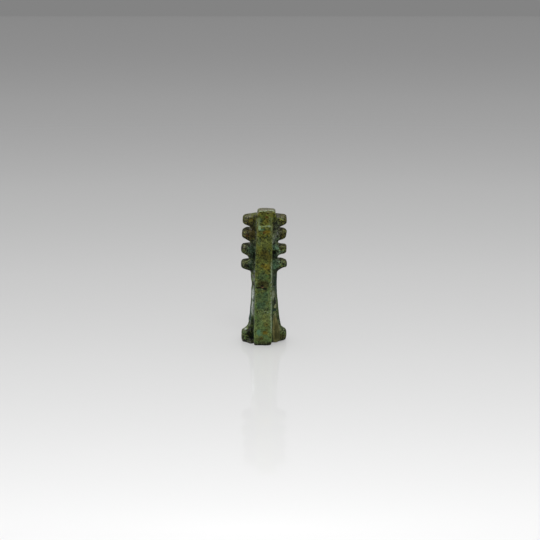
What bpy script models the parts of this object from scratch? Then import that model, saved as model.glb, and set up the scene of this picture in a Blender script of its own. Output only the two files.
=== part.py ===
# A djed pillar amulet of green-glazed faience, moulded in one piece with the pillar that backs it.
# It stands on its own base. The back pillar faces -Y, the front of the djed faces +Y and +Z is up.
# The origin is the middle of the underside, and every length is in metres.

import math

import bmesh
import bpy
import numpy as np

# The base, a low block whose top slopes up to the foot of the shaft
BASE_WIDTH = 0.0150
BASE_EDGE_HEIGHT = 0.0038
BASE_SLOPE_RISE = 0.0016
BASE_FOOT_ROUNDING = 0.0004

# The shaft, flared at its foot and narrowest at its waist
SHAFT_LENGTH = 0.01845
SHAFT_FOOT_WIDTH = 0.0112
SHAFT_WAIST_WIDTH = 0.0084
SHAFT_HEAD_WIDTH = 0.0087
SHAFT_WAIST_HEIGHT = 0.0128
SHAFT_FLARE_POWER = 1.9
SHAFT_STEPS = 9

# The four bars, closer together and narrower towards the top
BAR_COUNT = 4
BAR_WIDTH = 0.0151
BAR_NARROWING = 0.0002
LOWEST_BAR_HEIGHT = 0.0025
BAR_HEIGHT = 0.00275
BAR_THINNING = 0.0001
BAR_PITCH = 0.00535
BAR_PITCH_DROP = 0.00033
BAR_SLOPE_RISE = 0.0013
BAR_EDGE_ROUNDING = 0.0006
NECK_WIDTH = 0.0093

# The terminal above the top bar
TERMINAL_WIDTH = 0.0059
TERMINAL_HEIGHT = 0.0023
TERMINAL_SHIFT = 0.00085
TERMINAL_FRONT = 0.0038
TERMINAL_FLAT_DEPTH = 0.0057
TERMINAL_FRONT_DROP = 0.0012
TERMINAL_FRONT_ROUNDING = 0.0018

# Reach of the moulded body before and behind the middle plane
BAR_FRONT = 0.0053
BASE_FRONT = 0.0053
SHAFT_FRONT = 0.0040
SHAFT_FRONT_WAIST = 0.0034
NECK_FRONT = 0.0042
BASE_BACK = -0.0024
SHAFT_BACK = -0.0020
LOW_BAR_BACK = -0.0027
TOP_BAR_BACK = -0.0040
NECK_BACK_INSET = 0.00025

# Grooves that part the body from the back pillar
LOW_BAR_GROOVE_DEPTH = 0.0012
TOP_BAR_GROOVE_DEPTH = 0.0006
SHAFT_GROOVE_DEPTH = 0.0003
BASE_LEFT_GROOVE_DEPTH = 0.0012
BASE_RIGHT_GROOVE_DEPTH = 0.0002
GROOVE_WIDTH = 0.0017

# The back pillar
PILLAR_BACK = -0.0053
PILLAR_FOOT_WIDTH = 0.00575
PILLAR_TOP_WIDTH = 0.0051
PILLAR_FOOT_SHIFT = -0.0004
PILLAR_TOP_SHIFT = 0.0002
PILLAR_INNER_FACE = 0.0003
PILLAR_EDGE_ROUNDING = 0.00035
PILLAR_FLARE_LENGTH = 0.0040
PILLAR_RING_SPACING = 0.0020

# The lean of the amulet towards +X, over its lowest and its highest stretch
FOOT_SHIFT = -0.0001
LEAN_SHIFT = 0.00027
LEAN_LENGTH = 0.0100

# The cord hole, bored from side to side through the back pillar just above the lowest bar
HOLE_DIAMETER = 0.0016
HOLE_WALL = 0.0009
HOLE_ABOVE_LOWEST_BAR = 0.0022

# How finely the surface is divided
RING_POINTS = 52
OUTLINE_SAMPLES = 720
BLOCK_SQUARENESS = (3.4, 3.0)
NECK_SQUARENESS = (3.4, 5.5)
WAIST_SQUARENESS = (2.1, 2.1)
CORNER_STEPS = 4
HOLE_POINTS = 20

GLAZE_COLOUR = (0.062, 0.078, 0.027, 1.0)
GLAZE_ROUGHNESS = 0.34
GLAZE_COAT = 0.5


def bar_height(index):
    return LOWEST_BAR_HEIGHT if index == 0 else BAR_HEIGHT - (index - 1) * BAR_THINNING


def bar_tops():
    # Heights of the bars' upper faces, lowest bar first.
    first = BASE_EDGE_HEIGHT + BASE_SLOPE_RISE + SHAFT_LENGTH + BAR_SLOPE_RISE + bar_height(0)
    tops = [first]
    for index in range(BAR_COUNT - 1):
        tops.append(tops[-1] + BAR_PITCH - index * BAR_PITCH_DROP)
    return tops


BAR_TOPS = bar_tops()
BODY_TOP = BAR_TOPS[-1]
TOTAL_HEIGHT = BODY_TOP + TERMINAL_HEIGHT


def blend(start, end, share):
    return start + (end - start) * min(max(share, 0.0), 1.0)


def blend_pair(start, end, share):
    return tuple(blend(first, last, share) for first, last in zip(start, end))


def smooth_share(share):
    held = min(max(share, 0.0), 1.0)
    return held * held * (3 - 2 * held)


def lean_at(z):
    # Sideways shift of the body's middle at one height.
    from_top = (z - (BODY_TOP - LEAN_LENGTH)) / LEAN_LENGTH
    return LEAN_SHIFT * smooth_share(from_top) + FOOT_SHIFT * (1 - smooth_share(z / LEAN_LENGTH))


def flare_share(z):
    # 0 on the plain length of the back pillar, 1 where it has widened into the terminal.
    return smooth_share((z - (TOTAL_HEIGHT - PILLAR_FLARE_LENGTH)) / (0.75 * PILLAR_FLARE_LENGTH))


def pillar_middle(z):
    plain = blend(PILLAR_FOOT_SHIFT, PILLAR_TOP_SHIFT, z / TOTAL_HEIGHT)
    return blend(plain, TERMINAL_SHIFT, flare_share(z))


def pillar_half_width(z):
    plain = blend(PILLAR_FOOT_WIDTH, PILLAR_TOP_WIDTH, z / TOTAL_HEIGHT)
    return blend(plain, TERMINAL_WIDTH, flare_share(z)) / 2


def signed_power(value, power):
    return math.copysign(abs(value) ** power, value)


def even_points(points, count):
    # The same open line walked in equal steps, without its last point.
    line = np.array(points)
    steps = np.linalg.norm(np.diff(line, axis=0), axis=1)
    walked = np.concatenate([[0.0], np.cumsum(steps)])
    marks = np.linspace(0.0, walked[-1], count, endpoint=False)
    return [(float(np.interp(m, walked, line[:, 0])), float(np.interp(m, walked, line[:, 1]))) for m in marks]


def plan_outline(half_width, back, front, squareness):
    # The body's outline at one height, its front half and then its back half, each as square as it is told.
    middle = (front + back) / 2
    half_depth = (front - back) / 2
    outline = []
    for start, own_squareness in zip((0.0, math.pi), squareness):
        power = 2 / own_squareness
        half = []
        for step in range(OUTLINE_SAMPLES // 2 + 1):
            angle = start + math.pi * step / (OUTLINE_SAMPLES // 2)
            x = half_width * signed_power(math.cos(angle), power)
            y = middle + half_depth * signed_power(math.sin(angle), power)
            half.append((x, y))
        outline += even_points(half, RING_POINTS // 2)
    return outline


def body_ring(z, width, back, front, grooves, squareness=BLOCK_SQUARENESS):
    # One ring of the body, with a groove pressed into it on each side of the back pillar.
    middle = lean_at(z)
    ring = []
    for x, y in plan_outline(width / 2, back, front, squareness):
        from_pillar = (abs(x + middle - pillar_middle(z)) - pillar_half_width(z)) / GROOVE_WIDTH
        if y < (front + back) / 2:
            y += grooves[x > 0] * math.exp(-from_pillar * from_pillar)
        ring.append((x + middle, y, z))
    return ring


def base_rings():
    rounding = BASE_FOOT_ROUNDING
    grooves = (BASE_LEFT_GROOVE_DEPTH, BASE_RIGHT_GROOVE_DEPTH)
    rings = [
        body_ring(0.0, BASE_WIDTH - 2 * rounding, BASE_BACK + rounding, BASE_FRONT - rounding, grooves),
        body_ring(0.4 * rounding, BASE_WIDTH - 0.5 * rounding, BASE_BACK, BASE_FRONT, grooves),
        body_ring(BASE_EDGE_HEIGHT / 3, BASE_WIDTH, BASE_BACK, BASE_FRONT, grooves),
    ]
    edge_top = BASE_EDGE_HEIGHT - rounding
    rings.append(body_ring(edge_top, BASE_WIDTH, BASE_BACK, BASE_FRONT, grooves))
    foot_top = BASE_EDGE_HEIGHT + BASE_SLOPE_RISE
    for rise, inward in ((0.0, 0.12), (0.2, 0.42), (0.5, 0.76), (0.8, 0.94)):
        width = blend(BASE_WIDTH, SHAFT_FOOT_WIDTH, inward)
        back = blend(BASE_BACK, SHAFT_BACK, inward)
        front = blend(BASE_FRONT, SHAFT_FRONT, inward)
        z = blend(BASE_EDGE_HEIGHT, foot_top, rise)
        rings.append(body_ring(z, width, back, front, grooves))
    return rings


def shaft_width(above_foot):
    if above_foot < SHAFT_WAIST_HEIGHT:
        share = (1 - above_foot / SHAFT_WAIST_HEIGHT) ** SHAFT_FLARE_POWER
        return blend(SHAFT_WAIST_WIDTH, SHAFT_FOOT_WIDTH, share)
    share = (above_foot - SHAFT_WAIST_HEIGHT) / (SHAFT_LENGTH - SHAFT_WAIST_HEIGHT)
    return blend(SHAFT_WAIST_WIDTH, SHAFT_HEAD_WIDTH, share * share)


def shaft_rings():
    foot_top = BASE_EDGE_HEIGHT + BASE_SLOPE_RISE
    rings = []
    for step in range(SHAFT_STEPS + 1):
        above_foot = SHAFT_LENGTH * step / (SHAFT_STEPS + 1)
        width = shaft_width(above_foot)
        flared = (width - SHAFT_WAIST_WIDTH) / (SHAFT_FOOT_WIDTH - SHAFT_WAIST_WIDTH)
        front = blend(SHAFT_FRONT_WAIST, SHAFT_FRONT, flared)
        left_groove = blend(SHAFT_GROOVE_DEPTH, BASE_LEFT_GROOVE_DEPTH, flared)
        right_groove = blend(SHAFT_GROOVE_DEPTH, BASE_RIGHT_GROOVE_DEPTH, flared)
        grooves = (left_groove, right_groove)
        squareness = blend_pair(WAIST_SQUARENESS, BLOCK_SQUARENESS, flared)
        rings.append(body_ring(foot_top + above_foot, width, SHAFT_BACK, front, grooves, squareness))
    return rings


def bar_rings(index):
    # From the neck below one bar, out along its sloping underside, up its lip and back over its top.
    top = BAR_TOPS[index]
    width = BAR_WIDTH - index * BAR_NARROWING
    rank = smooth_share(index / (BAR_COUNT - 1))
    back = blend(LOW_BAR_BACK, TOP_BAR_BACK, rank)
    groove = blend(LOW_BAR_GROOVE_DEPTH, TOP_BAR_GROOVE_DEPTH, rank)
    grooves = (groove, groove)
    bottom = top - bar_height(index)
    below_width = SHAFT_HEAD_WIDTH if index == 0 else NECK_WIDTH
    below_front = SHAFT_FRONT_WAIST if index == 0 else NECK_FRONT
    below_back = SHAFT_BACK if index == 0 else back + NECK_BACK_INSET
    below_groove = SHAFT_GROOVE_DEPTH if index == 0 else groove
    below_squareness = WAIST_SQUARENESS if index == 0 else NECK_SQUARENESS
    rounding = BAR_EDGE_ROUNDING
    rings = []
    for rise, outward in ((0.0, 0.0), (0.35, 0.2), (0.7, 0.62), (1.0, 0.94)):
        ring = body_ring(
            bottom - BAR_SLOPE_RISE * (1 - rise),
            blend(below_width, width, outward),
            blend(below_back, back, outward),
            blend(below_front, BAR_FRONT, outward),
            (blend(below_groove, groove, outward),) * 2,
            blend_pair(below_squareness, BLOCK_SQUARENESS, outward),
        )
        rings.append(ring)
    lip = ((bottom + 0.7 * rounding, 0.0), (top - rounding, 0.0), (top - 0.3 * rounding, 0.3), (top, 1.0))
    for z, inset in lip:
        inward = inset * rounding
        rings.append(body_ring(z, width - 2 * inward, back + inward, BAR_FRONT - inward, grooves))
    inner_steps = ((0.05, 0.3), (0.3, 0.0)) if index < BAR_COUNT - 1 else ((0.05, 0.3),)
    for rise, outward in inner_steps:
        ring = body_ring(
            top + rise * rounding,
            blend(NECK_WIDTH, width, outward),
            blend(back + NECK_BACK_INSET, back, outward),
            blend(NECK_FRONT, BAR_FRONT, outward),
            grooves,
            blend_pair(NECK_SQUARENESS, BLOCK_SQUARENESS, outward),
        )
        rings.append(ring)
    return rings


def pillar_ring(z, inset=0.0, far=PILLAR_INNER_FACE, far_radius=PILLAR_EDGE_ROUNDING):
    # A slab section with rounded corners, one quarter turn at a time.
    half_width = pillar_half_width(z) - inset
    middle = pillar_middle(z)
    near = PILLAR_BACK + inset
    radius = PILLAR_EDGE_ROUNDING
    corners = (
        (1, far - far_radius, far_radius, 0.0),
        (-1, far - far_radius, far_radius, 0.5),
        (-1, near + radius, radius, 1.0),
        (1, near + radius, radius, 1.5),
    )
    ring = []
    for side, y, turn_radius, start in corners:
        x = middle + side * (half_width - turn_radius)
        for step in range(CORNER_STEPS + 1):
            angle = math.pi * (start + 0.5 * step / CORNER_STEPS)
            ring.append((x + turn_radius * math.cos(angle), y + turn_radius * math.sin(angle), z))
    return ring


def terminal_ring(z, inset=0.0, slope_share=0.0):
    # A section of the terminal, whose front slopes back to its flat top.
    far = blend(TERMINAL_FRONT, PILLAR_BACK + TERMINAL_FLAT_DEPTH, slope_share)
    return pillar_ring(z, inset, far, TERMINAL_FRONT_ROUNDING)


def pillar_rings():
    # The slab turns into the deeper terminal inside the top bar, where the step doesn't show.
    rounding = PILLAR_EDGE_ROUNDING
    hidden_step = BODY_TOP - bar_height(BAR_COUNT - 1) / 2
    slope_foot = TOTAL_HEIGHT - TERMINAL_FRONT_DROP
    count = math.ceil(hidden_step / PILLAR_RING_SPACING)
    rings = [pillar_ring(0.0, 0.3 * rounding)]
    rings += [pillar_ring(blend(0.3 * rounding, hidden_step, step / count)) for step in range(count + 1)]
    for share in (0.1, 0.4, 0.7, 1.0):
        rings.append(terminal_ring(blend(hidden_step, slope_foot, share)))
    rings.append(terminal_ring(TOTAL_HEIGHT - rounding, 0.0, 0.4))
    rings.append(terminal_ring(TOTAL_HEIGHT - 0.3 * rounding, 0.3 * rounding, 0.75))
    rings.append(terminal_ring(TOTAL_HEIGHT, rounding, 1.0))
    return rings


def lofted_object(name, rings):
    # A closed solid through a stack of rings that hold equally many points, lowest ring first.
    form = bmesh.new()
    loops = [[form.verts.new(point) for point in ring] for ring in rings]
    for lower, upper in zip(loops, loops[1:]):
        for index in range(len(lower)):
            after = (index + 1) % len(lower)
            form.faces.new((lower[index], lower[after], upper[after], upper[index]))
    form.faces.new(list(reversed(loops[0])))
    form.faces.new(loops[-1])
    mesh = bpy.data.meshes.new(name)
    form.to_mesh(mesh)
    form.free()
    made = bpy.data.objects.new(name, mesh)
    bpy.context.scene.collection.objects.link(made)
    return made


def hole_cutter():
    radius = HOLE_DIAMETER / 2
    z = BAR_TOPS[0] + HOLE_ABOVE_LOWEST_BAR
    y = PILLAR_BACK + HOLE_WALL + radius
    form = bmesh.new()
    bmesh.ops.create_cone(
        form, cap_ends=True, segments=HOLE_POINTS, radius1=radius, radius2=radius, depth=2 * BAR_WIDTH
    )
    mesh = bpy.data.meshes.new("cord_hole_cutter")
    form.to_mesh(mesh)
    form.free()
    cutter = bpy.data.objects.new("cord_hole_cutter", mesh)
    cutter.location = (0.0, y, z)
    cutter.rotation_euler = (0.0, math.pi / 2, 0.0)
    bpy.context.scene.collection.objects.link(cutter)
    return cutter


def as_helper(made):
    made.hide_render = True
    made.display_type = "WIRE"
    return made


def add_boolean(target, other, operation):
    modifier = target.modifiers.new(other.name, "BOOLEAN")
    modifier.operation = operation
    modifier.solver = "EXACT"
    modifier.object = as_helper(other)


def faience():
    material = bpy.data.materials.new("green_glazed_faience")
    material.use_nodes = True
    shader = material.node_tree.nodes["Principled BSDF"]
    shader.inputs["Base Color"].default_value = GLAZE_COLOUR
    shader.inputs["Roughness"].default_value = GLAZE_ROUGHNESS
    shader.inputs["Metallic"].default_value = 0.0
    shader.inputs["Coat Weight"].default_value = GLAZE_COAT
    return material


def main():
    for old in list(bpy.data.objects):
        bpy.data.objects.remove(old)
    rings = base_rings() + shaft_rings()
    for index in range(BAR_COUNT):
        rings += bar_rings(index)
    amulet = lofted_object("djed_amulet", rings)
    amulet.data.shade_smooth()
    amulet.data.set_sharp_from_angle(angle=math.radians(50))
    amulet.data.materials.append(faience())
    add_boolean(amulet, lofted_object("back_pillar_form", pillar_rings()), "UNION")
    add_boolean(amulet, hole_cutter(), "DIFFERENCE")


main()
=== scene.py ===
# A djed pillar amulet of green glazed faience, old and worn, seen from behind on a pale studio floor.
# The back pillar faces -Y, towards the camera. Lengths in the frame are metres. Marks and patterns are
# in millimetres, where across is X, depth is Y (lower is nearer to the camera) and height is Z.

import math

import bmesh
import bpy
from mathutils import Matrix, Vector


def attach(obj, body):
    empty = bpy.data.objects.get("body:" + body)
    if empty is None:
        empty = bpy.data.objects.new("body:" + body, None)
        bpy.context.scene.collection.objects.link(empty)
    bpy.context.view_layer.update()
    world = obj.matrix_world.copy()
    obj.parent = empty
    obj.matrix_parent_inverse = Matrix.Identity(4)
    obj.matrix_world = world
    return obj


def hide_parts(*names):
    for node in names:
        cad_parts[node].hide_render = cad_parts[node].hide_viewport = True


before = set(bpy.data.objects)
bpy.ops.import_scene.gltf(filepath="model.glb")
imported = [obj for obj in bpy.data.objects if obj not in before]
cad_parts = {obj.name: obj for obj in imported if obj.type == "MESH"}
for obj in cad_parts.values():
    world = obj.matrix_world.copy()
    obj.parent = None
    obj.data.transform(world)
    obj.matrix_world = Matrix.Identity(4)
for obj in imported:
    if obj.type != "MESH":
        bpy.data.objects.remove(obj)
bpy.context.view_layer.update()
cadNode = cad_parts["djed_amulet"]
mm = 0.001


class Wire:
    # one socket that Python can reckon with: every operator adds a Math node
    def __init__(self, web, socket):
        self.web = web
        self.socket = socket

    def math(self, operation, *others):
        return self.web.add("ShaderNodeMath", {"operation": operation}, dict(enumerate((self, *others))))

    def __add__(self, other):
        return self.math("ADD", other)

    def __radd__(self, other):
        return self.math("ADD", other)

    def __sub__(self, other):
        return self.math("SUBTRACT", other)

    def __rsub__(self, other):
        return self.web.add("ShaderNodeMath", {"operation": "SUBTRACT"}, {0: other, 1: self})

    def __mul__(self, other):
        return self.math("MULTIPLY", other)

    def __rmul__(self, other):
        return self.math("MULTIPLY", other)

    def __truediv__(self, other):
        return self.math("DIVIDE", other)

    def __rtruediv__(self, other):
        return self.web.add("ShaderNodeMath", {"operation": "DIVIDE"}, {0: other, 1: self})

    def fading(self):
        # 1 at zero, dying away as the value grows
        return (self * -1).math("EXPONENT")

    def outputs(self):
        return [Wire(self.web, socket) for socket in self.socket.node.outputs if socket.enabled]


class Web:
    # a node tree of either kind, filled through one method
    def __init__(self, tree):
        self.tree = tree

    def add(self, kind, settings=None, sockets=None, take=0):
        node = self.tree.nodes.new(kind)
        for name, value in (settings or {}).items():
            setattr(node, name, value)
        for key, value in (sockets or {}).items():
            socket = self.find(node.inputs, key)
            if isinstance(value, Wire):
                self.tree.links.new(value.socket, socket)
            else:
                socket.default_value = value
        return Wire(self, self.find(node.outputs, take))

    def find(self, sockets, key):
        live = [socket for socket in sockets if socket.enabled]
        return live[key] if isinstance(key, int) else next(s for s in live if s.name == key)

    def vector(self, operation, *values, take=0):
        return self.add("ShaderNodeVectorMath", {"operation": operation}, dict(enumerate(values)), take)

    def scaled(self, vector, factor):
        return self.add("ShaderNodeVectorMath", {"operation": "SCALE"}, {"Vector": vector, "Scale": factor})

    def split(self, vector):
        return self.add("ShaderNodeSeparateXYZ", {}, {0: vector}).outputs()

    def mix(self, factor, first, second):
        return self.add("ShaderNodeMix", {"data_type": "RGBA"}, {"Factor": factor, "A": first, "B": second})

    def ease(self, value, start, full, top=1.0):
        # 0 up to start and top from full on, with a soft turn between; full may be the lower one
        sockets = {"Value": value, "From Min": start, "From Max": full, "To Max": top}
        return self.add("ShaderNodeMapRange", {"interpolation_type": "SMOOTHSTEP"}, sockets)

    def largest(self, first, *others):
        for other in others:
            first = first.math("MAXIMUM", other)
        return first

    def noise(self, place, reach, detail, rough, warp=0.0, seed=0.0, take=0):
        # reach is the size of one blotch in the units of place
        sockets = {"Vector": place, "W": seed, "Scale": 1 / reach}
        sockets |= {"Detail": detail, "Roughness": rough, "Distortion": warp}
        return self.add("ShaderNodeTexNoise", {"noise_dimensions": "4D"}, sockets, take)

    def spot(self, place, centre, reach):
        # a soft-sided blot: 1 in its middle, falling away along an ellipsoid
        shrink = tuple(1 / length for length in reach)
        origin = tuple(-at / length for at, length in zip(centre, reach))
        away = self.vector("MULTIPLY_ADD", place, shrink, origin)
        far = self.vector("DOT_PRODUCT", away, away, take="Value")
        return self.add("ShaderNodeMath", {"operation": "POWER"}, {0: 1 / math.e, 1: far})


# Camera

photoView = {
    "elevation": 11.5,  # degrees above the floor
    "fieldOfView": 24.0,  # degrees across the square picture
    "sensor": 36.0,
    "aim": (0.0020, 0.0, 0.02436),
    "distance": 0.4215,
}


def makeCamera():
    lens = bpy.data.cameras.new("photoCamera")
    lens.sensor_width = photoView["sensor"]
    lens.lens = photoView["sensor"] / 2 / math.tan(math.radians(photoView["fieldOfView"]) / 2)
    lens.clip_start = 0.01
    lens.clip_end = 50.0
    camera = bpy.data.objects.new("photoCamera", lens)
    rise = math.radians(photoView["elevation"])
    backwards = Vector((0.0, -math.cos(rise), math.sin(rise)))
    camera.location = Vector(photoView["aim"]) + photoView["distance"] * backwards
    camera.rotation_euler = (math.pi / 2 - rise, 0.0, 0.0)
    bpy.context.scene.collection.objects.link(camera)
    bpy.context.scene.camera = camera


# Floor and light

studio = {
    "floorReach": 30.0,
    "airGrey": 0.227,
    "farGrey": 0.400,  # the floor's painted tone towards the horizon, where it mostly mirrors the air
    "nearGain": 0.574,  # how much paler the painted pool of light is at its brightest place
    "halfWay": 0.243,  # metres from there to where half of that is left
    "fading": 0.816,
    "brightestAt": -0.158,
    "sideStretch": 4.0,
    "polish": 0.03,  # roughness: smooth enough for a faint mirror image
    "skyStrength": 2.6,
    "skyWidth": 80.0,  # degrees across the soft light overhead
    "skyTilt": 6.0,
    "shading": 0.15,  # share of the floor's soft light that the amulet keeps off it
    "contact": 0.22,  # painted contact shadow: how much darker the floor is right at the foot
    "contactStart": 0.0050,  # metres from the middle of the foot, forwards and backwards
    "contactReach": 0.0045,
    "contactWidth": 0.006,
    "lampAim": (0.0, 0.0, 0.022),
}
lamps = {
    # name: (place, width, height, watts, whether it also lights the floor), all aimed at lampAim
    # the windows reach below the floor, as the amulet's upright sides mirror what lies there
    "leftWindow": ((-0.58, -0.04, 0.08), 0.34, 0.46, 3.6, False),
    "rightWindow": ((0.60, -0.04, 0.12), 0.10, 0.40, 1.2, False),
    "front": ((0.10, -0.80, 0.90), 0.60, 0.50, 2.0, True),
}


def paintedFloorLight(web):
    # painted light: brightest a little in front of the amulet, greyer with distance, with a painted contact
    # shadow right at its foot
    place = web.add("ShaderNodeTexCoord", {}, {}, "Object")
    away = web.vector("SUBTRACT", place, (0.0, studio["brightestAt"], 0.0))
    away = web.vector("MULTIPLY", away, (1 / studio["sideStretch"], 1.0, 0.0))
    far = web.vector("LENGTH", away, take="Value") / studio["halfWay"]
    shade = studio["farGrey"] + studio["nearGain"] / (1 + far.math("POWER", studio["fading"]))
    across, depth, _ = web.split(place)
    clear = (depth.math("ABSOLUTE") - studio["contactStart"]).math("MAXIMUM", 0.0) / studio["contactReach"]
    aside = across / studio["contactWidth"]
    return shade * (1 - studio["contact"] * (clear + aside * aside).fading())


def makeFloor():
    half = studio["floorReach"]
    corners = [(-half, -half, 0.0), (half, -half, 0.0), (half, half, 0.0), (-half, half, 0.0)]
    mesh = bpy.data.meshes.new("floor")
    mesh.from_pydata(corners, [], [(0, 1, 2, 3)])
    floor = bpy.data.objects.new("floor", mesh)
    bpy.context.scene.collection.objects.link(floor)
    material = bpy.data.materials.new("paleFloor")
    material.use_nodes = True
    web = Web(material.node_tree)
    shader = material.node_tree.nodes["Principled BSDF"]
    shader.inputs["Roughness"].default_value = studio["polish"]
    shade = paintedFloorLight(web)
    tint = web.add("ShaderNodeCombineColor", {}, {0: shade, 1: shade, 2: shade})
    material.node_tree.links.new(tint.socket, shader.inputs["Base Color"])
    mesh.materials.append(material)
    floor.visible_glossy = False  # its white would veil the dark glaze
    floor.visible_diffuse = False
    return floor


def lightGroup(name, item, state):
    # the things that a lamp lights or is blocked by
    group = bpy.data.collections.new(name)
    group.objects.link(item)
    group.collection_objects[0].light_linking.link_state = state
    return group


def hangLight(name, kind, energy):
    light = bpy.data.lights.new(name, kind)
    light.energy = energy
    lamp = bpy.data.objects.new(name, light)
    bpy.context.scene.collection.objects.link(lamp)
    return lamp


def makeSky(notFloor, onlyFloor, amulet):
    shares = {
        "overhead": (notFloor, 1.0),
        "shadingFloor": (onlyFloor, studio["shading"]),
        "overFloor": (onlyFloor, 1.0 - studio["shading"]),
    }
    for name, (lit, share) in shares.items():
        sky = hangLight(name, "SUN", studio["skyStrength"] * share)
        sky.data.angle = math.radians(studio["skyWidth"])
        sky.rotation_euler = (math.radians(-studio["skyTilt"]), 0.0, 0.0)
        sky.light_linking.receiver_collection = lit
        if name == "overFloor":  # it passes the amulet, as the photograph has next to no shadow there
            sky.light_linking.blocker_collection = lightGroup("letsLightBy", amulet, "EXCLUDE")


def makeLamps(notFloor):
    for name, (place, width, height, watts, lightsFloor) in lamps.items():
        lamp = hangLight(name, "AREA", watts)
        lamp.data.shape = "RECTANGLE"
        lamp.data.size = width
        lamp.data.size_y = height
        lamp.location = place
        lamp.rotation_euler = (Vector(studio["lampAim"]) - Vector(place)).to_track_quat("-Z", "Y").to_euler()
        lamp.visible_camera = False
        if not lightsFloor:
            lamp.light_linking.receiver_collection = notFloor


def makeStudio(amulet):
    floor = makeFloor()
    world = bpy.data.worlds.new("studioAir")
    world.use_nodes = True
    world.node_tree.nodes["Background"].inputs["Color"].default_value = (studio["airGrey"],) * 3 + (1.0,)
    bpy.context.scene.world = world
    notFloor = lightGroup("allButFloor", floor, "EXCLUDE")
    onlyFloor = lightGroup("onlyFloor", floor, "INCLUDE")
    makeSky(notFloor, onlyFloor, amulet)
    makeLamps(notFloor)
    bpy.context.scene.view_settings.view_transform = "Standard"


# The worn surface

wear = {
    "Melt steps": 10,  # rounds of smoothing over the moulded form
    "Fullness": 0.10,  # glaze laid over it
    "Swell": 0.16,  # broad unevenness of the moulding
    "Swell reach": 5.5,
    "Ripple": 0.07,  # finer unevenness of the glaze
    "Ripple reach": 1.5,
    "Chip depth": 0.30,  # bites out of the bars' and the base's edges
    "Chip reach": 2.2,
    "Pits per cm2": 16.0,
    "Pit radius": 0.34,
    "Pit depth": 0.20,
    "Crack height": 19.3,
    "Crack depth": 0.16,
    "Crack width": 0.16,
    "Crack wander": 1.6,
    "Ledge height": 39.9,  # a moulding ledge across the back pillar
    "Ledge depth": 0.16,
    "Glaze thickness": 0.09,
    "Scarp start": 2.80,  # where the lost glaze begins, to the right of the back pillar
    "Scarp raggedness": 1.5,
    "Seed": 5,
}
voxel = 0.17 * mm
wearBorders = {
    # where each border starts and where it is full
    "bite": (0.50, 0.66),  # in a noise: where edges are chipped
    "standsOut": (0.03, 0.16),  # bulge of an edge that can chip
    "backFace": (-4.6, -5.0),  # depth
    "ledgeFades": (43.6, 41.0),  # height
    "crackBreaks": (0.42, 0.56),  # in a noise: where the crack is broken off
    "crackSide": (1.5, -1.0),  # depth
    "lostEdge": (0.0, 0.45),  # across, from the scarp on
    "lostTop": (18.5, 15.5),  # height
    "lostRight": (5.8, 5.1),  # across
    "lostFar": (2.2, 1.2),  # depth
    "lostNear": (-4.6, -3.8),
    "flare": (4.5, 9.0),  # height: where the shaft's right side leaves the base
    "scarpTurn": (9.0, 11.0),
    "pitWall": (1.0, 0.25),  # distance from a pit's middle, as a share of its radius
}
smoothing = {"chip": 24, "edge": 8, "seam": 30, "hollow": 160}  # rounds: more of them find broader forms
scarps = [
    # height, reach up and down, and how far towards +X the lost glaze stays away
    (10.3, 0.80, 0.70),
    (11.1, 0.45, 1.30),
    (14.2, 1.0, 1.45),
    (16.6, 1.7, 2.60),
]
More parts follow.
